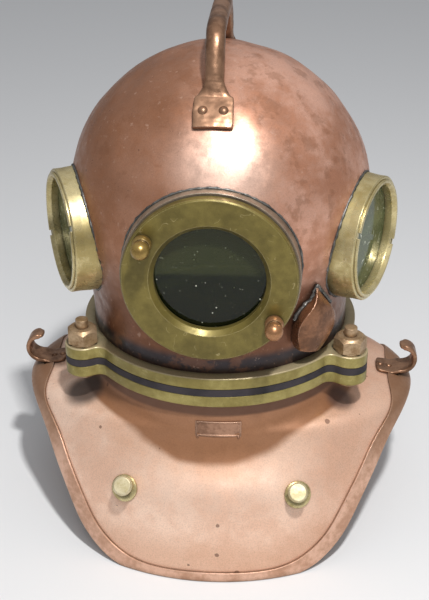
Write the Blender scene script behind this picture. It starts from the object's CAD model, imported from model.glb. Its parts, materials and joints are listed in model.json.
# %% [markdown]
# A three-bolt diving helmet of spun copper, with cast brass window rings and flanges.
# The solids come packed from the CAD part. Blender dresses them: it gives every metal its
# own colour, wear and hammer marks, and it replaces the pieces whose hand-made shape matters,
# such as the forged handle, the folded cowl and the solder seams.

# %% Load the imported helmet
import json
import math

import bpy
from mathutils import Matrix, Vector, noise


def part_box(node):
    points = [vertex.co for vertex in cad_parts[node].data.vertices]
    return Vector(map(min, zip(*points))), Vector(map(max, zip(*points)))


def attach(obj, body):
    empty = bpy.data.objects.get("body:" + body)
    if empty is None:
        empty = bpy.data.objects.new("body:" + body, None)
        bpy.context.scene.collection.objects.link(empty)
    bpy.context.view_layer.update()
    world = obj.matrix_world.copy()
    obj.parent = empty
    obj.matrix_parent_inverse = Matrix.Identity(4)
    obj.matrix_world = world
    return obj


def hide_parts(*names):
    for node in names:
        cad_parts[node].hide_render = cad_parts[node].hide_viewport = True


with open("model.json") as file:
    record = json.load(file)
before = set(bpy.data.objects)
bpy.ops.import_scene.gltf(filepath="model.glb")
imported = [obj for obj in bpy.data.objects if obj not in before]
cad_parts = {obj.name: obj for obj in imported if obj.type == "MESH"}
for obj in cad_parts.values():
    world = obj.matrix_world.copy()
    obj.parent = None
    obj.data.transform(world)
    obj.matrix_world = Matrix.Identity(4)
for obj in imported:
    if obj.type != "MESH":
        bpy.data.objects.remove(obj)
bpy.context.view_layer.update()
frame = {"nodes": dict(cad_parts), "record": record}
nodes = frame["nodes"]

# %% [markdown]
# The camera stands a metre in front of the helmet, a little to the right, and looks down on it
# by 28 degrees. A ring seen at a slant gives its place away, so it was matched to the outlines
# of the three windows, the flanges and the dome.

# %% Camera at the photograph's angle
dome_centre = Vector((0, 0, 0.325))
camera_place = Vector((0.0614, -0.9865, 0.7311))
camera_view = Vector((-0.05997, 0.88172, -0.46796))
camera_roll = math.radians(-0.18)
image_width = 429
focal_pixels = 1123.2

camera_data = bpy.data.cameras.new("camera")
camera_data.sensor_fit = "HORIZONTAL"
camera_data.lens = camera_data.sensor_width * focal_pixels / image_width
camera = bpy.data.objects.new("camera", camera_data)
bpy.context.scene.collection.objects.link(camera)
aim = camera_view.to_track_quat("-Z", "Y").to_matrix().to_4x4()
turn = aim @ Matrix.Rotation(camera_roll, 4, "Z")
camera.matrix_world = Matrix.Translation(camera_place) @ turn
bpy.context.scene.camera = camera
bpy.context.scene.view_settings.view_transform = "Standard"
print("lens mm:", round(camera_data.lens, 2))

# %% [markdown]
# The helmet stands on a plain pale floor that takes its shadow. The world is an even studio,
# brighter overhead than at the horizon, so that the metal has something graded to mirror.

# %% Floor and world
floor_size = 12.0
floor_drop = 0.0005
floor_colour = (0.76, 0.76, 0.76, 1)
sky_low_colour = (0.12, 0.12, 0.125, 1)
sky_high_colour = (0.45, 0.46, 0.48, 1)
sky_high_place = 0.9

bpy.ops.object.select_all(action="DESELECT")
bpy.ops.mesh.primitive_plane_add(size=floor_size, location=(0, 0, -floor_drop))
floor = bpy.context.object
floor.name = "studio_floor"
floor_paint = bpy.data.materials.new("floor_paint")
floor_paint.use_nodes = True
floor_shader = floor_paint.node_tree.nodes["Principled BSDF"]
floor_shader.inputs["Base Color"].default_value = floor_colour
floor_shader.inputs["Roughness"].default_value = 0.9
floor_shader.inputs["Specular IOR Level"].default_value = 0.0
floor.data.materials.append(floor_paint)

world = bpy.data.worlds.new("studio")
bpy.context.scene.world = world
world.use_nodes = True
sky = world.node_tree
sky_place = sky.nodes.new("ShaderNodeTexCoord")
sky_split = sky.nodes.new("ShaderNodeSeparateXYZ")
sky_ramp = sky.nodes.new("ShaderNodeValToRGB")
sky_low, sky_high = sky_ramp.color_ramp.elements
sky_low.color = sky_low_colour
sky_high.color = sky_high_colour
sky_high.position = sky_high_place
sky.links.new(sky_place.outputs["Generated"], sky_split.inputs[0])
sky.links.new(sky_split.outputs["Z"], sky_ramp.inputs["Fac"])
sky.links.new(sky_ramp.outputs["Color"], sky.nodes["Background"].inputs["Color"])
print("floor:", floor_size, "m, sky from", sky_low_colour[0], "to", sky_high_colour[0])

# %% [markdown]
# In the photograph the sun stands high in front, a little to the right. The flanges throw a
# hard narrow shadow on the neck, and a broad pale highlight lies on the forehead. One large
# lamp would give the highlight but blur the shadow. So a small key lamp gives the shadow, and
# a larger and weaker one lower in front widens the highlight.

# %% Lamps
def hang_lamp(name, direction, distance, size, power):
    """A square lamp that shines on the bonnet from that direction."""
    direction = Vector(direction).normalized()
    data = bpy.data.lights.new(name, "AREA")
    data.energy = power
    data.size = size
    lamp = bpy.data.objects.new(name, data)
    bpy.context.scene.collection.objects.link(lamp)
    place = Matrix.Translation(dome_centre + direction * distance)
    lamp.matrix_world = place @ direction.to_track_quat("Z", "Y").to_matrix().to_4x4()
    return lamp


key = hang_lamp("key", (0.17, -0.50, 0.85), distance=1.7, size=0.10, power=28.5)
fill = hang_lamp("fill", (0.15, -0.72, 0.60), distance=1.8, size=0.70, power=4.8)
for lamp in (key, fill):
    print(lamp.name, "lamp at", [round(v, 2) for v in lamp.matrix_world.translation])

# %% [markdown]
# Every finish is mixed from noise on Object coordinates, in metres, so a pattern of 20 mm is
# 20 mm on every piece and stays on the piece when it moves. Nodes placed by hand are easy to
# see but slow to repeat for ten metals, so a few helpers place and link them.

# %% Nodes, blends and colours
def add_node(tree, kind, values=(), **settings):
    """A node of that kind, with its settings and the values of its inputs."""
    node = tree.nodes.new("ShaderNode" + kind)
    for key, value in settings.items():
        setattr(node, key, value)
    for key, value in dict(values).items():
        node.inputs[key].default_value = value
    return node


def feed(tree, node, key, value):
    """Gives an input either another node's output or a plain number or colour."""
    if isinstance(value, bpy.types.NodeSocket):
        tree.links.new(value, node.inputs[key])
    else:
        node.inputs[key].default_value = value


def maths(tree, operation, first, second=0.0, clamp=False):
    """Output of a Math node."""
    node = add_node(tree, "Math", operation=operation, use_clamp=clamp)
    feed(tree, node, 0, first)
    feed(tree, node, 1, second)
    return node.outputs[0]


def spread(tree, value, low, high, to_low=0.0, to_high=1.0):
    """Maps low..high smoothly to to_low..to_high and stays level outside."""
    node = add_node(tree, "MapRange", {1: low, 2: high, 3: to_low, 4: to_high},
                    interpolation_type="SMOOTHSTEP")
    tree.links.new(value, node.inputs[0])
    return node.outputs[0]


def blend_colour(tree, factor, first, second):
    """Second colour over the first, where factor is 1."""
    node = add_node(tree, "Mix", data_type="RGBA", blend_type="MIX")
    feed(tree, node, 0, factor)
    feed(tree, node, 6, first)
    feed(tree, node, 7, second)
    return node.outputs[2]


def tint(red, green, blue):
    """A colour written in the screen's 0 to 255, as the shader's linear numbers."""
    return [*(((v / 255 + 0.055) / 1.055) ** 2.4 for v in (red, green, blue)), 1]


# %% [markdown]
# Three patterns make all the wear: soft noise for stains and hammer marks, round spots for pits
# and lime, and thin lines for scratches.

# %% Patterns of wear
def speckle(tree, size, detail=3.0, roughness=0.55):
    """Noise whose patches are about size metres across."""
    place = add_node(tree, "TexCoord").outputs["Object"]
    node = add_node(tree, "TexNoise",
                    {"Scale": 1 / size, "Detail": detail, "Roughness": roughness})
    tree.links.new(place, node.inputs["Vector"])
    return node.outputs[0]


def pinholes(tree, spacing, share):
    """Small round spots, one to each cell of that spacing, some of them too small to show."""
    place = add_node(tree, "TexCoord").outputs["Object"]
    cells = add_node(tree, "TexVoronoi", {"Scale": 1 / spacing, "Randomness": 1.0})
    tree.links.new(place, cells.inputs["Vector"])
    uneven = spread(tree, speckle(tree, spacing * 1.7), 0.35, 0.7)
    size = maths(tree, "MULTIPLY", uneven, share)
    return maths(tree, "GREATER_THAN", size, cells.outputs["Distance"])


def scratches(tree, size, width, share):
    """Thin curly lines where noise crosses its middle, kept only in some patches."""
    from_middle = maths(tree, "SUBTRACT", speckle(tree, size, detail=1.0), 0.5)
    line = maths(tree, "LESS_THAN", maths(tree, "ABSOLUTE", from_middle), width)
    patch = maths(tree, "LESS_THAN", speckle(tree, size * 0.6, detail=0.0), share)
    return maths(tree, "MULTIPLY", line, patch)


# %% [markdown]
# Stains lie in places: low on the dome, near the neck, under a lug. Painting them by hand on the
# mesh would need a UV map. A mask made from the Object coordinates needs none and moves with a
# number. Noise waves its border, because no stain ends on a straight line. Each function here
# hands back a mask that is made later, when a finish has its node tree.

# %% Masks for stains
def waved(tree, value, size, wobble):
    """The value with noise of that size added, at most half a wobble up or down."""
    wave = maths(tree, "SUBTRACT", speckle(tree, size), 0.5)
    return maths(tree, "ADD", value, maths(tree, "MULTIPLY", wave, wobble))


def along(axis, low, high, wobble=0.03, amount=1.0):
    """0 below low and amount above high along X, Y or Z in metres."""
    def mask(tree):
        split = add_node(tree, "SeparateXYZ")
        tree.links.new(add_node(tree, "TexCoord").outputs["Object"], split.inputs[0])
        return spread(tree, waved(tree, split.outputs[axis], 0.06, wobble), low, high, 0.0, amount)
    return mask


def near(centre, inner, outer, wobble=0.02, amount=1.0, flat=False):
    """Amount within inner metres of centre, and 0 beyond outer. flat leaves the height out."""
    def mask(tree):
        mapping = add_node(tree, "Mapping", {"Location": [-v for v in centre],
                                             "Scale": (1, 1, 0 if flat else 1)})
        tree.links.new(add_node(tree, "TexCoord").outputs["Object"], mapping.inputs["Vector"])
        length = add_node(tree, "VectorMath", operation="LENGTH")
        tree.links.new(mapping.outputs[0], length.inputs[0])
        reach = waved(tree, length.outputs["Value"], 0.05, wobble)
        return spread(tree, reach, inner, outer, amount, 0.0)
    return mask


def mottled(size, low, high, amount):
    """Blots of about that size: amount where the noise is above high, and 0 below low."""
    def mask(tree):
        blots = speckle(tree, size, detail=4.0, roughness=0.65)
        return spread(tree, blots, low, high, 0.0, amount)
    return mask


# %% [markdown]
# Worn metal has three tones: where hands and cloth keep it clean, where it is stained, and
# the dark oxide in its pits. A large and a small noise mix the first two, fine grain and round
# spots add the third, and the small noise also sets how dull each place is. Dirt gathers in the
# corners, which Ambient Occlusion finds, and edges are rubbed bright, which the Bevel node finds.
# Hammer marks are a bump, shallower than the wall is thick.

# %% Worn metal
stain_border = (0.40, 0.64)
grain_share = 0.22
spot_share = 0.65
spot_depth = 0.00012
scratch_size = 0.012
corner_reach = 0.010
corner_share = 0.85


def worn_metal(name, clean, stained, dark, bright, dullness, patch, dent, dent_height,
               metallic=0.9, zones=(), spots=(0.03, 0.05), edge_width=0.0012, scratched=0.0):
    """A metal finish. Its four colours are red, green and blue from 0 to 255, dullness is its
    lowest and highest roughness, patch and dent are sizes, and a zone is (mask, colour)."""
    clean, stained, dark, bright = (tint(*colour) for colour in (clean, stained, dark, bright))
    finish = bpy.data.materials.new(name)
    finish.use_nodes = True
    tree = finish.node_tree
    shader = tree.nodes["Principled BSDF"]
    shader.inputs["Metallic"].default_value = metallic
    large = speckle(tree, patch)
    small = speckle(tree, patch / 7, detail=5.0)
    grain = speckle(tree, patch / 60, detail=2.0)
    stain = spread(tree, maths(tree, "ADD", maths(tree, "MULTIPLY", large, 0.7),
                               maths(tree, "MULTIPLY", small, 0.3)), *stain_border)
    colour = blend_colour(tree, stain, clean, stained)
    for mask, zone_colour in zones:
        colour = blend_colour(tree, mask(tree), colour, tint(*zone_colour))
    colour = blend_colour(tree, spread(tree, grain, 0.35, 0.8, 0.0, grain_share), colour, dark)
    spot = pinholes(tree, *spots)
    colour = blend_colour(tree, maths(tree, "MULTIPLY", spot, spot_share), colour, dark)
    rounded = add_node(tree, "Bevel", {"Radius": edge_width}, samples=4)
    facing = add_node(tree, "VectorMath", operation="DOT_PRODUCT")
    tree.links.new(rounded.outputs[0], facing.inputs[0])
    tree.links.new(add_node(tree, "NewGeometry").outputs["Normal"], facing.inputs[1])
    edge = maths(tree, "MULTIPLY", spread(tree, facing.outputs["Value"], 0.80, 0.97, 1.0, 0.0),
                 spread(tree, small, 0.30, 0.60, 0.35, 0.9))
    colour = blend_colour(tree, edge, colour, bright)
    lines = scratches(tree, scratch_size, 0.006, 0.36)
    scratch = maths(tree, "MULTIPLY", lines, scratched)
    colour = blend_colour(tree, scratch, colour, bright)
    corner = add_node(tree, "AmbientOcclusion", {"Distance": corner_reach}, samples=5)
    dirt = spread(tree, corner.outputs["AO"], 0.30, 0.78, corner_share, 0.0)
    colour = blend_colour(tree, dirt, colour, dark)
    feed(tree, shader, "Base Color", colour)
    dull = maths(tree, "ADD", spread(tree, small, 0.3, 0.7, *dullness),
                 maths(tree, "MULTIPLY", dirt, 0.25), clamp=True)
    feed(tree, shader, "Roughness", dull)
    hammer = speckle(tree, dent, detail=1.5, roughness=0.4)
    fine = speckle(tree, dent / 14, detail=3.0)
    height = maths(tree, "ADD", maths(tree, "MULTIPLY", hammer, dent_height),
                   maths(tree, "MULTIPLY", fine, dent_height / 30))
    height = maths(tree, "SUBTRACT", height, maths(tree, "MULTIPLY", spot, spot_depth))
    bump = add_node(tree, "Bump", {"Strength": 1.0, "Distance": 1.0})
    feed(tree, bump, "Height", height)
    feed(tree, bump, "Normal", rounded.outputs[0])
    feed(tree, shader, "Normal", bump.outputs[0])
    return finish


# %% [markdown]
# The bonnet is rubbed pale on its forehead, brown on its left and low down at the neck, and
# mottled at the crown. A dark line of old grease runs round it just above the flange.

# %% Copper of the bonnet
bonnet_copper = worn_metal(
    "bonnet_copper", (232, 180, 156), (190, 134, 106), (76, 50, 38),
    (240, 206, 190), dullness=(0.27, 0.44), patch=0.060, dent=0.034, dent_height=0.0015,
    spots=(0.020, 0.055), metallic=0.58, zones=(
        (along("X", 0.08, -0.11, 0.06, 0.8), (156, 106, 74)),
        (along("Z", 0.330, 0.235, 0.03, 0.95), (114, 71, 46)),
        (along("Z", 0.219, 0.209, 0.005, 0.92), (48, 50, 56)),
        (near((-0.05, -0.06, 0.44), 0.02, 0.080, 0.10, 0.6), (140, 94, 66)),
        (mottled(0.022, 0.53, 0.63, 0.40), (146, 98, 70)),
        (mottled(0.006, 0.62, 0.70, 0.28), (236, 198, 176)),
        (near((0.012, -0.122, 0.392), 0.01, 0.06, 0.02, 0.8), (244, 208, 188)),
        (along("Y", -0.02, 0.10, 0.08, 0.5), (140, 98, 72))))
print("bonnet:", bonnet_copper.name, "nodes:", len(bonnet_copper.node_tree.nodes))

# %% [markdown]
# The apron of the breastplate is pale. Its neck, which the flange shelters from rubbing, stayed
# orange brown inside a smooth arc, and dark dirt sits under the two front lugs. The rim round
# the edge is browner, most of all over the shoulders.

# %% Copper of the breastplate and its rim
neck_axis = (0, 0, 0)
right_lug_shelter = (0.119, -0.070, 0.143)
left_lug_shelter = (-0.128, -0.067, 0.142)
breastplate_copper = worn_metal(
    "breastplate_copper", (254, 219, 195), (238, 195, 168), (96, 62, 46),
    (252, 226, 210), dullness=(0.34, 0.48), patch=0.07, dent=0.05, dent_height=0.0012,
    spots=(0.026, 0.12), metallic=0.38, zones=(
        (along("Z", 0.062, 0.022, 0.02, 0.7), (222, 176, 146)),
        (along("X", 0.05, 0.12, 0.03, 0.5), (208, 158, 128)),
        (near(neck_axis, 0.140, 0.156, 0.02, 0.25, flat=True), (214, 158, 116)),
        (near(neck_axis, 0.1375, 0.1425, 0.005, 0.92, flat=True), (152, 102, 66)),
        (along("Z", 0.1520, 0.1555, 0.002, 0.75), (94, 64, 50)),
        (near(right_lug_shelter, 0.008, 0.020, 0.006, 0.75), (76, 58, 56)),
        (near(left_lug_shelter, 0.012, 0.027, 0.008, 0.85), (48, 42, 40)),
        (along("Y", 0.0, 0.10, 0.08, 0.6), (170, 120, 92))))
rim_copper = worn_metal(
    "rim_copper", (232, 188, 162), (196, 150, 122), (78, 66, 48),
    (248, 222, 204), dullness=(0.32, 0.46), patch=0.03, dent=0.012, dent_height=0.0004,
    spots=(0.012, 0.06), metallic=0.5, zones=(
        (along("Z", 0.075, 0.125, 0.02, 0.85), (150, 110, 80)),))
print("breastplate:", breastplate_copper.name, "and", rim_copper.name)

# %% [markdown]
# The small copper pieces are browner than the big ones. The handle and hooks were forged from
# bronze, the cowl was folded from sheet, and the small plate is the same brown as its pins.

# %% Bronze, cowl and plate
bronze = worn_metal(
    "forged_bronze", (170, 130, 102), (116, 84, 62), (56, 40, 32),
    (230, 196, 172), dullness=(0.28, 0.45), patch=0.028, dent=0.009, dent_height=0.0004,
    spots=(0.012, 0.05), metallic=0.7)
cowl_copper = worn_metal(
    "cowl_copper", (148, 102, 72), (104, 69, 45), (58, 40, 30),
    (226, 180, 154), dullness=(0.24, 0.40), patch=0.02, dent=0.009, dent_height=0.0004,
    spots=(0.008, 0.06), metallic=0.6)
plate_copper = worn_metal(
    "plate_copper", (178, 136, 110), (134, 98, 76), (66, 45, 34),
    (226, 190, 166), dullness=(0.36, 0.50), patch=0.02, dent=0.006, dent_height=0.00015,
    spots=(0.01, 0.05), metallic=0.6)
print("small pieces:", bronze.name, cowl_copper.name, plate_copper.name)

# %% [markdown]
# The front ring is old cast brass, olive and even, pale only where an edge is rubbed. The
# flanges are a little lighter, with a pale line along their upper edge, and the barrels of the
# side windows were turned and polished, so they are the brightest brass on the helmet.

# %% Brass of the rings, flanges and barrels
flange_edge_low = 0.1968
flange_edge_high = 0.1980
brass = worn_metal(
    "cast_brass", (126, 112, 55), (101, 89, 41), (66, 58, 34),
    (222, 204, 150), dullness=(0.30, 0.46), patch=0.05, dent=0.02, dent_height=0.00022,
    spots=(0.02, 0.035), scratched=0.25, metallic=0.45)
seat_bronze = worn_metal(
    "seat_bronze", (164, 146, 126), (128, 110, 92), (60, 52, 44),
    (216, 204, 184), dullness=(0.30, 0.46), patch=0.03, dent=0.012, dent_height=0.0002,
    metallic=0.5)
flange_brass = worn_metal(
    "flange_brass", (168, 154, 92), (138, 124, 66), (50, 43, 26),
    (232, 218, 172), dullness=(0.30, 0.46), patch=0.05, dent=0.02, dent_height=0.00022,
    spots=(0.02, 0.035), scratched=0.25, metallic=0.48, zones=(
        (along("Z", flange_edge_low, flange_edge_high, 0.0, 0.75), (212, 194, 158)),))
barrel_brass = worn_metal(
    "barrel_brass", (220, 204, 154), (178, 160, 106), (56, 48, 28),
    (240, 228, 190), dullness=(0.24, 0.36), patch=0.04, dent=0.02, dent_height=0.0003,
    spots=(0.02, 0.04), scratched=0.4, metallic=0.7)
print("brasses:", brass.name, seat_bronze.name, flange_brass.name, barrel_brass.name)

# %% [markdown]
# Fittings that hands and spanners touch have finishes of their own: the nuts are pale bronze,
# one knob is browner than the other, and the heads of the weight studs are rubbed nearly white.
# The seams between brass and copper are grey tin solder, and the springs are plain steel.

# %% Fittings, solder and steel
nut_bronze = worn_metal(
    "nut_bronze", (192, 164, 130), (150, 120, 86), (56, 44, 34),
    (236, 212, 182), dullness=(0.38, 0.52), patch=0.014, dent=0.005, dent_height=0.00012,
    spots=(0.008, 0.06), metallic=0.62, edge_width=0.0005)
knob_bronze = worn_metal(
    "knob_bronze", (168, 140, 78), (136, 108, 58), (60, 44, 28),
    (228, 204, 150), dullness=(0.24, 0.38), patch=0.02, dent=0.006, dent_height=0.0001,
    spots=(0.01, 0.05), metallic=0.65, zones=(
        (along("X", 0.0, 0.04, 0.0, 0.8), (176, 124, 90)),))
rubbed_brass = worn_metal(
    "rubbed_brass", (221, 209, 174), (190, 175, 132), (90, 80, 50),
    (250, 244, 224), dullness=(0.34, 0.5), patch=0.012, dent=0.006, dent_height=0.0002,
    spots=(0.006, 0.06), metallic=0.5)
solder = worn_metal(
    "grey_solder", (128, 126, 122), (84, 84, 82), (44, 44, 44),
    (204, 202, 196), dullness=(0.42, 0.6), patch=0.012, dent=0.004, dent_height=0.0005,
    metallic=0.8, spots=(0.008, 0.08))
steel = worn_metal(
    "spring_steel", (150, 150, 148), (110, 108, 104), (60, 58, 56),
    (210, 210, 208), dullness=(0.3, 0.45), patch=0.01, dent=0.004, dent_height=0.00005)
print("fittings:", nut_bronze.name, knob_bronze.name, rubbed_brass.name, solder.name, steel.name)

# %% [markdown]
# The rubber of the collar and seals is old, matt and purple grey. It needs only two tones of
# noise and a fine bump.

# %% Rubber
rubber = bpy.data.materials.new("old_rubber")
rubber.use_nodes = True
rubber_tree = rubber.node_tree
rubber_shader = rubber_tree.nodes["Principled BSDF"]
rubber_shader.inputs["Roughness"].default_value = 0.75
rubber_tone = blend_colour(rubber_tree, spread(rubber_tree, speckle(rubber_tree, 0.02), 0.35, 0.7),
                           tint(54, 48, 52), tint(34, 31, 36))
feed(rubber_tree, rubber_shader, "Base Color", rubber_tone)
rubber_bump = add_node(rubber_tree, "Bump", {"Strength": 1.0, "Distance": 1.0})
rubber_grain = maths(rubber_tree, "MULTIPLY", speckle(rubber_tree, 0.003), 0.0002)
feed(rubber_tree, rubber_bump, "Height", rubber_grain)
feed(rubber_tree, rubber_shader, "Normal", rubber_bump.outputs[0])
print("rubber:", rubber.name)

# %% [markdown]
# The glass is thick, green and dark, with pale specks of lime, and the film left by damp makes
# its upper half a little paler. A body colour in the volume would be truer but renders slowly,
# so the colour and the scatter are both on the surface. The side panes are older and scored.

# %% Glass
lime_colour = tint(206, 208, 186)
film_border = 0.003
film_scatter = 0.10
lime_spacing = 0.010
fine_lime_spacing = 0.0045


def thick_glass(name, body, film, film_height, lime, scored, clouded):
    """Green glass. film is the colour of the damp film above film_height, lime the size of the
    specks, scored how much of it carries scratches, and clouded how much light it scatters."""
    finish = bpy.data.materials.new(name)
    finish.use_nodes = True
    tree = finish.node_tree
    shader = tree.nodes["Principled BSDF"]
    shader.inputs["IOR"].default_value = 1.34
    misted = along("Z", film_height - film_border, film_height + film_border, 0.008)(tree)
    colour = blend_colour(tree, misted, body, film)
    fine_specks = maths(tree, "MULTIPLY", pinholes(tree, fine_lime_spacing, lime * 2.4), 0.35)
    specks = maths(tree, "MAXIMUM", pinholes(tree, lime_spacing, lime), fine_specks)
    marks = maths(tree, "MAXIMUM", specks, scratches(tree, 0.011, 0.012, scored))
    feed(tree, shader, "Base Color", blend_colour(tree, marks, colour, lime_colour))
    scatter = maths(tree, "MULTIPLY", misted, film_scatter)
    scatter = maths(tree, "ADD", scatter, clouded)
    clear = maths(tree, "SUBTRACT", maths(tree, "SUBTRACT", 1.0, scatter),
                  maths(tree, "MULTIPLY", marks, 0.7), clamp=True)
    feed(tree, shader, "Transmission Weight", clear)
    feed(tree, shader, "Roughness", spread(tree, speckle(tree, 0.01), 0.3, 0.7, 0.04, 0.12))
    return finish


film_line = 0.303
front_pane = thick_glass("front_pane", tint(62, 76, 40), tint(104, 112, 66), film_line,
                         lime=0.085, scored=0.0, clouded=0.075)
side_pane = thick_glass("side_pane", tint(112, 126, 84), tint(112, 126, 84), film_line,
                        lime=0.08, scored=0.42, clouded=0.45)
print("glass:", front_pane.name, side_pane.name)

# %% [markdown]
# The record names a slot for each node, such as copper or brass, and most nodes simply take
# their slot's finish. The nodes whose own look differs, such as the breastplate, the flanges and
# the heads of the weight studs, are listed with their finish.

# %% Give each node its finish
finishes = {"copper": bonnet_copper, "bronze": bronze, "brass": brass, "glass": side_pane,
            "rubber": rubber, "steel": steel}
own_finish = {"breastplate_shell": breastplate_copper, "breastplate_rim": rim_copper,
              "chest_plate": plate_copper, "chest_plate_pins": plate_copper,
              "front_glass": front_pane, "front_window_seat": seat_bronze,
              "weight_studs": rubbed_brass, "bezel_knobs": knob_bronze,
              "flange_studs": nut_bronze, "exhaust_cowl": cowl_copper,
              "upper_flange": flange_brass, "lower_flange": flange_brass}
for side in ("left", "right"):
    own_finish[side + "_window_barrel"] = barrel_brass
    own_finish[side + "_window_ring"] = barrel_brass
for side in ("left", "right", "rear"):
    own_finish[side + "_washer"] = nut_bronze
slot_of = {part["node"]: part["material_slot"] for part in frame["record"]["subparts"]}
for name, piece in nodes.items():
    piece.data.materials.clear()
    piece.data.materials.append(own_finish.get(name, finishes[slot_of[name]]))
print("finished nodes:", len(slot_of))

# %% [markdown]
# The new pieces are modelled as by hand, with the same few steps each time: select one object,
# apply modifiers, and settle its place into its mesh. Naming these steps once keeps each
# piece's own cell short.

# %% Take, work and settle a piece
def take(piece):
    """Makes this the one selected and active object, in object mode."""
    if bpy.context.object and bpy.context.object.mode != "OBJECT":
        bpy.ops.object.mode_set(mode="OBJECT")
    bpy.ops.object.select_all(action="DESELECT")
    piece.select_set(True)
    bpy.context.view_layer.objects.active = piece


def work(piece, kind, **settings):
    """Adds a modifier to the piece and applies it."""
    take(piece)
    modifier = piece.modifiers.new(kind.lower(), kind)
    for key, value in settings.items():
        setattr(modifier, key, value)
    bpy.ops.object.modifier_apply(modifier=modifier.name)


def lumpy(name, size):
    """A cloud texture whose lumps are about size metres across, for Displace."""
    texture = bpy.data.textures.new(name, "CLOUDS")
    texture.noise_scale = size
    texture.noise_depth = 1
    return texture


def soften(piece, width, segments, angle):
    """Bevels the edges that turn by more than that angle in degrees."""
    work(piece, "BEVEL", width=width, segments=segments, limit_method="ANGLE",
         angle_limit=math.radians(angle))


def keep_place(piece):
    """Puts the piece's place, turn and scale in its mesh."""
    take(piece)
    bpy.ops.object.transform_apply(location=True, rotation=True, scale=True)


def settle(piece, name, finish, body, slot, *replaced, smooth=60):
    """Names the piece, puts its place in its mesh, and says what it stands for."""
    keep_place(piece)
    bpy.ops.object.mode_set(mode="EDIT")
    bpy.ops.mesh.select_all(action="SELECT")
    bpy.ops.mesh.normals_make_consistent(inside=False)
    bpy.ops.object.mode_set(mode="OBJECT")
    bpy.ops.object.shade_smooth_by_angle(angle=math.radians(smooth))
    piece.name = name
    piece.data.materials.clear()
    piece.data.materials.append(finish)
    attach(piece, body)
    if replaced:
        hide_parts(*replaced)
    print(name, "faces:", len(piece.data.polygons))
    return piece


# %% [markdown]
# Operators in edit mode act on what is selected, so edges and faces are picked first, by where
# they are or which way they face. Selecting works in object mode, and the operators that follow
# need edit mode.

# %% Pick edges and faces
def pick_nothing(piece, kind):
    """Sets what is picked, EDGE or FACE, and leaves the piece in object mode with none picked."""
    take(piece)
    bpy.ops.object.mode_set(mode="EDIT")
    bpy.ops.mesh.select_mode(type=kind)
    bpy.ops.mesh.select_all(action="DESELECT")
    bpy.ops.object.mode_set(mode="OBJECT")


def pick_edges(piece, wanted):
    """Edit mode with only those edges selected for which wanted(one end, other end) is true."""
    pick_nothing(piece, "EDGE")
    corners = piece.data.vertices
    for edge in piece.data.edges:
        edge.select = wanted(corners[edge.vertices[0]].co, corners[edge.vertices[1]].co)
    bpy.ops.object.mode_set(mode="EDIT")


def pick_top(piece):
    """Edit mode with only the faces that point up selected."""
    pick_nothing(piece, "FACE")
    for face in piece.data.polygons:
        face.select = face.normal.z > 0.9
    bpy.ops.object.mode_set(mode="EDIT")


# %% [markdown]
# The handle and the hooks are forged bars. A bar could be swept along its path as a curve, but a
# curve keeps one section. So it is made as a smith makes it: drawn out straight, wide here and
# thin there, and only then bent over a former.

# %% Draw out a bar and bend it
def draw_out(stations):
    """Forges a bar along X: a flat end is extruded from station to station and resized.
    A station is (distance, half width, half thickness), and the underside stays level."""
    distance, wide, thick = stations[0]
    base = thick
    bpy.ops.object.select_all(action="DESELECT")
    bpy.ops.mesh.primitive_plane_add(size=2, location=(distance, 0, 0),
                                     rotation=(0, math.pi / 2, 0))
    bar = bpy.context.object
    bar.scale = (wide, thick, 1)
    keep_place(bar)
    bpy.ops.object.mode_set(mode="EDIT")
    bpy.ops.mesh.select_all(action="SELECT")
    for next_distance, next_wide, next_thick in stations[1:]:
        rise = next_thick - thick
        bpy.ops.mesh.extrude_region_move(
            TRANSFORM_OT_translate={"value": (next_distance - distance, rise, 0)})
        bpy.ops.transform.resize(value=(1, next_thick / thick, next_wide / wide),
                                 center_override=(next_distance, next_thick - base, 0))
        distance, wide, thick = next_distance, next_wide, next_thick
    bpy.ops.mesh.select_all(action="SELECT")
    bpy.ops.mesh.normals_make_consistent(inside=False)
    bpy.ops.object.mode_set(mode="OBJECT")
    return bar


def bend_over(piece, path):
    """Bends a bar that was drawn out along X round a former, a flat curve through path."""
    data = bpy.data.curves.new("former", "CURVE")
    data.dimensions = "2D"
    line = data.splines.new("POLY")
    line.points.add(len(path) - 1)
    for point, place in zip(line.points, path):
        point.co = (place[0], place[1], 0, 1)
    former = bpy.data.objects.new("former", data)
    bpy.context.scene.collection.objects.link(former)
    work(piece, "CURVE", object=former, deform_axis="POS_X")
    bpy.data.objects.remove(former)


# %% [markdown]
# A former is a flat line of points. Two helpers draw it: an arc, and the rounded corner between
# two straight runs. The bar's length is measured along it, so that bar and former agree.

# %% Draw a former
def arc(centre, radius, start, end, steps):
    """Points round a centre, from one angle to another, in degrees."""
    turns = [math.radians(start + (end - start) * step / steps) for step in range(steps + 1)]
    middle = Vector((centre[0], centre[1]))
    return [middle + Vector((math.cos(turn), math.sin(turn))) * radius for turn in turns]


def round_corner(before, corner, after, radius, steps=8):
    """Points of the arc that rounds off a corner between two straight runs."""
    back = (before - corner).normalized()
    onward = (after - corner).normalized()
    half = back.angle(onward) / 2
    centre = corner + (back + onward).normalized() * radius / math.sin(half)
    start = corner + back * radius / math.tan(half) - centre
    end = corner + onward * radius / math.tan(half) - centre
    whole = start.angle(end)
    points = []
    for step in range(steps + 1):
        onto_start = math.sin((1 - step / steps) * whole) / math.sin(whole)
        onto_end = math.sin(step / steps * whole) / math.sin(whole)
        points.append(centre + start * onto_start + end * onto_end)
    return points


def length_of(path):
    """Length of a line through points."""
    return sum((b - a).length for a, b in zip(path, path[1:]))


# %% [markdown]
# The handle was forged from one round bar: its ends were hammered flat into palms, and it was
# then bent over the crown. It is made in the same order here. A square bar is extruded from
# station to station, Subdivision Surface makes it round, creases keep the palms flat with
# sharp edges, and a Curve modifier bends it. Last come the hammer marks.

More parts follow.
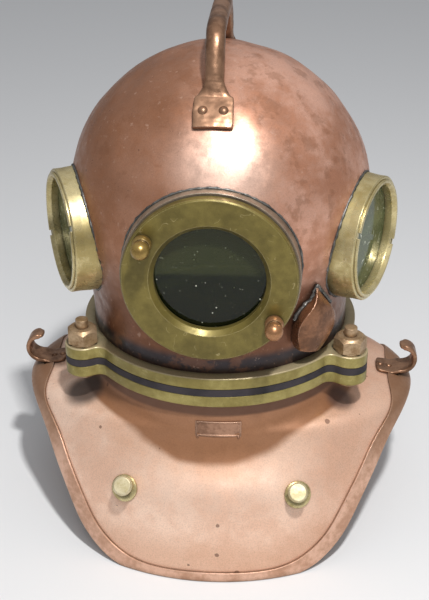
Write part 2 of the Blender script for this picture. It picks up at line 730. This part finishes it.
# %% Forge the carrying handle
dome_radius = 0.140
bar_half = 0.0091
root_bend_radius = 0.0180
top_bend_radius = 0.0198
palm_half_width = 0.0170
palm_half_thick = 0.00225
palm_length = 0.028
neck_length = 0.0385
palm_tip_angle = 46.5
palm_root_angle = 29.0
top_line = 0.1602
top_half = 0.0554
centre_line = dome_radius + palm_half_thick

palm_arc = arc((0, 0), centre_line, 90 + palm_tip_angle, 90 + palm_root_angle, 12)
root = palm_arc[-1]
left_top = Vector((-top_half, top_line))
right_top = Vector((top_half, top_line))
handle_path = palm_arc[:-3] + round_corner(palm_arc[-4], root, left_top, root_bend_radius)
handle_path += round_corner(root, left_top, right_top, top_bend_radius)
handle_path += [Vector((-x, y)) for x, y in reversed(handle_path)]
handle_length = length_of(handle_path)
half_stations = [(0, palm_half_width * 0.97, palm_half_thick),
                 (0.003, palm_half_width, palm_half_thick),
                 (0.015, palm_half_width, palm_half_thick),
                 (palm_length, palm_half_width * 0.97, 0.0027),
                 (0.0335, 0.0125, 0.0045), (neck_length, 0.0090, 0.0078)]
half_stations += [(distance, bar_half, bar_half) for distance in (0.050, 0.075, 0.100, 0.120)]
stations = half_stations + [(handle_length - d, w, t) for d, w, t in reversed(half_stations)]
handle = draw_out(stations)


def on_palm(one, other):
    """Outline edges of the two palms."""
    from_end = max(min(end.x, handle_length - end.x) for end in (one, other))
    return from_end < palm_length + 0.001


pick_edges(handle, on_palm)
bpy.ops.transform.edge_crease(value=0.75)
bpy.ops.object.mode_set(mode="OBJECT")
work(handle, "SUBSURF", levels=4, render_levels=4)
for corner in handle.data.vertices:
    end = min(corner.co.x, handle_length - corner.co.x)
    if end < neck_length:
        corner.co.y -= corner.co.z ** 2 / (2 * dome_radius) * (1 - end / neck_length * 0.5)
bend_over(handle, handle_path)
handle.rotation_euler = (math.pi / 2, 0, math.pi / 2)
handle.location = dome_centre
settle(handle, "forged_handle", bronze, "bonnet", "bronze", "carrying_handle")
work(handle, "DISPLACE", texture=lumpy("hammer_marks", 0.007), texture_coords="LOCAL",
     strength=0.0007, mid_level=0.5)
print("handle path mm:", round(handle_length * 1000, 1))

# %% [markdown]
# Each shoulder hook is a strip that lies on the shoulder, runs out over the rim and curls back
# to hold a weight line. It narrows towards its tip, which was thickened so that it does not cut
# the line. The strip is drawn out, rounded and bent like the handle. The second hook is a
# mirrored copy, whose faces are turned outwards again when it is settled.

# %% Bend the shoulder hooks
hook_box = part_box("right_shoulder_hook")
hook_reach = hook_box[1][0]
hook_top = hook_box[1][2]
foot_half_thick = 0.0015
strip_half_thick = 0.0021
strip_half_width = 0.0130
curl_radius = 0.0133
shell = nodes["breastplate_shell"]


def shoulder_height(x):
    """Height of the breastplate's skin at a distance from the middle."""
    _, place, _, _ = shell.ray_cast(Vector((x, 0, 0.3)), Vector((0, 0, -1)))
    return place.z


base_start = hook_box[0][0]
curl_inset = curl_radius + strip_half_thick
curl_centre = Vector((hook_reach - curl_inset, hook_top - curl_inset))
base_marks = [base_start + step * 0.004 for step in range(5)]
hook_path = [Vector((x, shoulder_height(x) + foot_half_thick - 0.0001)) for x in base_marks]
hook_path += arc(curl_centre, curl_radius, -100, 108, 30)
hook_length = length_of(hook_path)
foot_stations = [(0, 0.0105, 0.0014), (0.003, 0.0125, foot_half_thick),
                 (0.010, strip_half_width, foot_half_thick),
                 (0.020, strip_half_width, foot_half_thick), (0.030, 0.0126, strip_half_thick)]
tip_stations = [(0.034, 0.0112, strip_half_thick), (0.020, 0.0094, strip_half_thick),
                (0.009, 0.0084, 0.0024), (0.004, 0.0080, 0.0030), (0.0005, 0.0066, 0.0026)]
hook = draw_out(foot_stations + [(hook_length - d, w, t) for d, w, t in tip_stations])


def along_hook(one, other):
    """The strip's long edges, short of its rounded tip."""
    return abs(one.x - other.x) > 0.0001 and max(one.x, other.x) < hook_length - 0.003


pick_edges(hook, along_hook)
bpy.ops.transform.edge_crease(value=0.45)
bpy.ops.object.mode_set(mode="OBJECT")
work(hook, "SUBSURF", levels=3, render_levels=3)
bend_over(hook, hook_path)
hook.rotation_euler = (math.pi / 2, 0, 0)
take(hook)
bpy.ops.object.duplicate()
left_hook = bpy.context.object
left_hook.scale = (-1, 1, 1)
settle(hook, "right_forged_hook", bronze, "breastplate", "bronze", "right_shoulder_hook")
settle(left_hook, "left_forged_hook", bronze, "breastplate", "bronze", "left_shoulder_hook")
print("hook reach mm:", round(hook_reach * 1000, 1))

# %% [markdown]
# What sits on the bonnet is marked out on its skin, as a fitter does: so far sideways from the
# exhaust, at a height, and standing off the skin. The skin is a sphere above its bend and is
# drawn in to the neck below it.

# %% Mark out the bonnet
exhaust_azimuth = math.radians(45.7)
bonnet_bend = 0.285
bonnet_foot = 0.2103
bonnet_foot_radius = 0.124


def bonnet_radius(height):
    """Radius of the bonnet's skin at a height, round above its bend and drawn in below."""
    if height > bonnet_bend:
        return math.sqrt(max(dome_radius ** 2 - (height - dome_centre.z) ** 2, 0))
    share = min((bonnet_bend - height) / (bonnet_bend - bonnet_foot), 1)
    blend = share * share * (3 - 2 * share)
    bend_radius = math.sqrt(dome_radius ** 2 - (dome_centre.z - bonnet_bend) ** 2)
    return bend_radius + (bonnet_foot_radius - bend_radius) * blend


def on_bonnet(sideways, height, stand_off):
    """A place round the bonnet, in mm: sideways from the exhaust, height and stand-off."""
    radius = bonnet_radius(height / 1000)
    angle = exhaust_azimuth + sideways / 1000 / radius
    reach = radius + stand_off / 1000
    return Vector((reach * math.sin(angle), -reach * math.cos(angle), height / 1000))


# %% [markdown]
# The cowl keeps the sea from lifting the exhaust valve. It is a leaf of thin copper with one
# sharp crease from its point to its foot, which parts a narrow face from a broad one, and a
# softer brow. It could be cut from a cone, but its outline follows the bonnet. So a grid of
# five by six corners is pulled to marks on the bonnet, creased along the ridge and the brow,
# subdivided and given its thickness. It stands clear of the valve inside.

# %% Fold the exhaust cowl
cowl_rows = [
    [(-5.6, 274.4, -0.5), (-6.8, 276.1, 1.5), (-6.0, 275.6, 1.5), (-4.6, 274.1, 1.0),
     (-4.0, 273.5, -0.5)],
    [(-8.5, 263.9, -0.5), (-11.1, 268.2, 8), (-6.9, 266.9, 8), (2.3, 260.9, 6.5),
     (7.0, 261.5, -0.5)],
    [(-19.4, 258.9, -0.5), (-16.3, 262.5, 13), (-4.5, 259.5, 13.5), (12.2, 249.4, 12.5),
     (18.0, 249, -0.5)],
    [(-24.4, 246.3, -0.5), (-27.0, 254.6, 14.5), (-9.7, 247.7, 17), (14.5, 237.2, 15.5),
     (26, 237, -0.5)],
    [(-26.5, 231.1, -0.5), (-30.4, 240.0, 14), (-14.1, 231.9, 17.5), (9.5, 223.0, 16.5),
     (27, 224, -0.5)],
    [(-22.5, 215.3, 1), (-22.6, 217.3, 12.5), (-15.7, 214.9, 16), (-2.0, 210.6, 14),
     (16, 212, 1)]]
bpy.ops.object.select_all(action="DESELECT")
bpy.ops.mesh.primitive_grid_add(x_subdivisions=4, y_subdivisions=5, size=0.05)
cowl = bpy.context.object
ordered = sorted(cowl.data.vertices, key=lambda v: (-round(v.co.y, 4), v.co.x))
for corner, mark in zip(ordered, [mark for row in cowl_rows for mark in row]):
    corner.co = on_bonnet(*mark)
ridge = [on_bonnet(*row[1]) for row in cowl_rows]
brow = [on_bonnet(*row[3]) for row in cowl_rows]


def both_on(line):
    """A test that is true for an edge with both ends on that line of marks."""
    def on_line(place):
        return min((place - mark).length for mark in line) < 1e-5
    return lambda one, other: on_line(one) and on_line(other)


for line, sharpness in ((ridge, 0.75), (brow, 0.35)):
    pick_edges(cowl, both_on(line))
    bpy.ops.transform.edge_crease(value=sharpness)
    bpy.ops.object.mode_set(mode="OBJECT")
work(cowl, "SUBSURF", levels=3, render_levels=3)
work(cowl, "SOLIDIFY", thickness=0.0016, offset=-1)
settle(cowl, "folded_cowl", cowl_copper, "bonnet", "copper", "exhaust_cowl", smooth=50)

# %% [markdown]
# The brass rings are soldered into the copper, and the grey tin shows as an uneven line round
# each. A torus would float where the dome curves away from it. So a ring of points is projected
# on the bonnet along the window's own axis, given a round section as a curve, made a mesh and
# roughened.

# %% Run the solder seams
def bead(line, name, thickness, lump, closed=True):
    """Turns an object of joined edges into a rough bead of solder that rides on the bonnet."""
    take(line)
    bpy.ops.object.convert(target="CURVE")
    line.data.bevel_depth = thickness
    line.data.bevel_resolution = 2
    line.data.use_fill_caps = not closed
    bpy.ops.object.convert(target="MESH")
    work(line, "DISPLACE", texture=lumpy(name + "_lumps", lump), texture_coords="LOCAL",
         strength=thickness * 1.5, mid_level=0.5)
    return settle(line, name, solder, "bonnet", "brass")


clear_of_bonnet = 0.16
seam_lump = 0.004


def seam_round(name, azimuth, back, height, radius, thickness):
    """A seam round a ring whose axis points out at that azimuth, from its own point on Y."""
    outward = Vector((math.sin(math.radians(azimuth)), -math.cos(math.radians(azimuth)), 0))
    bpy.ops.object.select_all(action="DESELECT")
    outside = Vector((0, back, height)) + outward * clear_of_bonnet
    bpy.ops.mesh.primitive_circle_add(vertices=200, radius=radius, location=outside,
                                      rotation=outward.to_track_quat("Z", "Y").to_euler())
    ring = bpy.context.object
    work(ring, "SHRINKWRAP", target=nodes["bonnet_shell"], wrap_method="PROJECT",
         use_project_z=True, use_negative_direction=True, use_positive_direction=False)
    keep_place(ring)
    return bead(ring, name, thickness, seam_lump)


def middle_height(node):
    """Height of the middle of a node's box."""
    low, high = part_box(node)
    return (low[2] + high[2]) / 2


side_azimuth = 66.7
side_axis_back = 0.0157
inlet_height = 0.312
seam_round("front_seat_seam", 0, 0, middle_height("front_window_seat"), 0.0779, 0.0012)
side_height = middle_height("right_window_ring")
for side, azimuth in (("right", side_azimuth), ("left", -side_azimuth)):
    seam_round(side + "_barrel_seam", azimuth, side_axis_back, side_height, 0.0588, 0.0013)
seam_round("inlet_seam", 180, 0, inlet_height, 0.0253, 0.0014)

# %% [markdown]
# The cowl is soldered down both its sides and over its point, and stays open at its foot, where
# the air leaves. Its seam is a smooth curve through the marks of the cowl's outline.

# %% Solder the cowl
seam_rise = 0.4
seam_apex = (-5, 277)
cowl_outline = [on_bonnet(row[0][0] - 1, row[0][1], seam_rise) for row in reversed(cowl_rows[:4])]
cowl_outline += [on_bonnet(*seam_apex, seam_rise)]
cowl_outline += [on_bonnet(row[4][0] + 1, row[4][1], seam_rise) for row in cowl_rows[:3]]
outline_data = bpy.data.curves.new("cowl_seam_line", "CURVE")
outline_data.dimensions = "3D"
outline_line = outline_data.splines.new("NURBS")
outline_line.points.add(len(cowl_outline) - 1)
for point, place in zip(outline_line.points, cowl_outline):
    point.co = (*place, 1)
outline_line.order_u = 3
outline_line.use_endpoint_u = True
cowl_line = bpy.data.objects.new("cowl_seam_line", outline_data)
bpy.context.scene.collection.objects.link(cowl_line)
bead(cowl_line, "cowl_seam", 0.0019, 0.0028, closed=False)

# %% [markdown]
# Each nut is a hexagon whose upper corners are turned off to a cone, which leaves an arc on every
# face. It is cut in the same way here: the hexagon is kept only where a cone covers it, and the
# bore is taken out. The left nut shows a corner to the camera, the right one a flat. The studs'
# ends above them are plain cylinders with a small chamfer.

# %% Cut the nuts and the stud ends
nut_half_flats = 0.0135
nut_corner = nut_half_flats / math.cos(math.radians(30))
nut_crown = 0.0116
nut_cone_height = 0.0034
nut_bore = 0.00608
nut_turns = {"left": 11.6, "right": 34.4, "rear": 0.0}
stud_end_radius = 0.00603
stud_end_sunk = 0.0090
stud_end_height = 0.0093


def cut(piece, tool, operation):
    """Applies a Boolean with the tool, which is then thrown away."""
    work(piece, "BOOLEAN", object=tool, operation=operation, solver="EXACT")
    bpy.data.objects.remove(tool)


def solid_round(radius_below, radius_above, foot, height):
    """A cone or cylinder that stands on that place."""
    bpy.ops.object.select_all(action="DESELECT")
    bpy.ops.mesh.primitive_cone_add(vertices=96, radius1=radius_below, radius2=radius_above,
                                    depth=height, location=foot + Vector((0, 0, height / 2)))
    return bpy.context.object


stud_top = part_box("flange_studs")[1][2]
for side, turned in nut_turns.items():
    low, high = (Vector(corner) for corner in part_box(side + "_nut"))
    foot = Vector(((low.x + high.x) / 2, (low.y + high.y) / 2, low.z))
    height = high.z - low.z
    bpy.ops.object.select_all(action="DESELECT")
    bpy.ops.mesh.primitive_cylinder_add(vertices=6, radius=nut_corner, depth=height,
                                        rotation=(0, 0, math.radians(turned)),
                                        location=foot + Vector((0, 0, height / 2)))
    nut = bpy.context.object
    slope = (nut_corner - nut_crown) / nut_cone_height
    cut(nut, solid_round(nut_crown + slope * height, nut_crown, foot, height), "INTERSECT")
    below = foot - Vector((0, 0, 0.001))
    cut(nut, solid_round(nut_bore, nut_bore, below, height + 0.002), "DIFFERENCE")
    settle(nut, side + "_chamfered_nut", nut_bronze, side + "_nut", "bronze", side + "_nut",
           smooth=25)
    sunk = Vector((foot.x, foot.y, stud_top - stud_end_sunk))
    end = solid_round(stud_end_radius, stud_end_radius, sunk, stud_end_height)
    soften(end, 0.0006, 2, 40)
    settle(end, side + "_stud_end", nut_bronze, "breastplate", "bronze", smooth=30)

# %% [markdown]
# Each weight stud stands on a round brass foot that lies flat on the apron. The apron slopes two
# ways, so its slope is found by casting a ray on it rather than worked out. The foot is a disc
# whose top is inset and raised to a low step, with a shallow dish inside it.

# %% Feet of the weight studs
def skin_frame(x, z):
    """Where a ray from the front at that x and z meets the apron, turned to its slope."""
    _, place, normal, _ = shell.ray_cast(Vector((x, -0.4, z)), Vector((0, 1, 0)))
    outward = normal if normal.y < 0 else -normal
    across = Vector((1, 0, 0)) - outward * outward.x
    across.normalize()
    turned = Matrix((across, outward.cross(across), outward)).transposed().to_4x4()
    return Matrix.Translation(place) @ turned


stud_head_reach = 0.0092
stud_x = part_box("weight_studs")[1][0] - stud_head_reach
foot_z = 0.0815
foot_radius = 0.0128
foot_thick = 0.0034
feet = []
for side in (-1, 1):
    bpy.ops.object.select_all(action="DESELECT")
    bpy.ops.mesh.primitive_cylinder_add(vertices=64, radius=foot_radius, depth=foot_thick)
    foot = bpy.context.object
    pick_top(foot)
    bpy.ops.mesh.inset(thickness=0.0022)
    bpy.ops.transform.translate(value=(0, 0, 0.0008))
    bpy.ops.mesh.inset(thickness=0.0030)
    bpy.ops.mesh.extrude_region_move(TRANSFORM_OT_translate={"value": (0, 0, -0.0006)})
    bpy.ops.object.mode_set(mode="OBJECT")
    soften(foot, 0.0004, 2, 25)
    foot.matrix_world = skin_frame(side * stud_x, foot_z)
    keep_place(foot)
    feet.append(foot)
feet[0].select_set(True)
bpy.ops.object.join()
settle(bpy.context.object, "stud_feet", barrel_brass, "breastplate", "brass",
       "weight_stud_flanges", smooth=30)

# %% [markdown]
# A small plate is pinned on the neck under the flange, a little right of the middle. It is a slab
# whose field is inset and sunk, so that a narrow border stands round it, and it is left bare. It
# was hammered to the round of the neck, so its middle stands proud of its ends.

# %% The small bare plate
plate_width = 0.0425
plate_height = 0.0150
plate_thick = 0.0030
plate_border = 0.0012
plate_sunk = 0.0007
plate_frame = skin_frame(0.0061, 0.1405)
neck_radius = 0.134
bpy.ops.object.select_all(action="DESELECT")
bpy.ops.mesh.primitive_cube_add(size=1)
plate = bpy.context.object
plate.scale = (plate_width, plate_height, plate_thick)
keep_place(plate)
pick_top(plate)
bpy.ops.mesh.inset(thickness=plate_border)
bpy.ops.mesh.inset(thickness=0.0005)
bpy.ops.transform.translate(value=(0, 0, -plate_sunk))
bpy.ops.mesh.select_all(action="SELECT")
bpy.ops.mesh.subdivide(number_cuts=6)
bpy.ops.object.mode_set(mode="OBJECT")
soften(plate, 0.0003, 2, 30)
for corner in plate.data.vertices:
    corner.co.z -= corner.co.x ** 2 / (2 * neck_radius)
plate.matrix_world = plate_frame
settle(plate, "bare_plate", plate_copper, "breastplate", "brass", "chest_plate", smooth=30)

# %% [markdown]
# The rim is a half round copper band soldered round the edge of the breastplate. The CAD band is
# square, and its mesh is loose triangles, so a merged copy of it has its edges rounded with Bevel.

# %% Round the rim
def merged_copy(node):
    """A copy of a CAD node with its loose triangles joined."""
    take(nodes[node])
    bpy.ops.object.duplicate()
    copy = bpy.context.object
    bpy.ops.object.mode_set(mode="EDIT")
    bpy.ops.mesh.select_all(action="SELECT")
    bpy.ops.mesh.remove_doubles(threshold=1e-6)
    bpy.ops.object.mode_set(mode="OBJECT")
    return copy


rim = merged_copy("breastplate_rim")
soften(rim, 0.0016, 3, 50)
settle(rim, "rounded_rim", rim_copper, "breastplate", "copper", "breastplate_rim", smooth=40)

# %% [markdown]
# The bonnet was beaten out by hand and has had knocks since, so its outline and its highlights
# waver. A merged copy of the CAD shell is pushed in and out along lines from its middle, with
# both skins moved together so that the wall keeps its thickness. The neck stays round, because
# the flange is sleeved on it.

# %% Dent the bonnet
dent_size = 0.055
dent_depth = 0.0018
still_below = 0.205
fade_height = 0.03
dented = merged_copy("bonnet_shell")
for corner in dented.data.vertices:
    out = (corner.co - dome_centre).normalized()
    push = noise.noise(corner.co / dent_size) + 0.4 * noise.noise(corner.co / dent_size * 2.3)
    hold = min(max((corner.co.z - still_below) / fade_height, 0), 1)
    corner.co += out * push * dent_depth * hold
settle(dented, "dented_bonnet", bonnet_copper, "bonnet", "copper", "bonnet_shell", smooth=35)
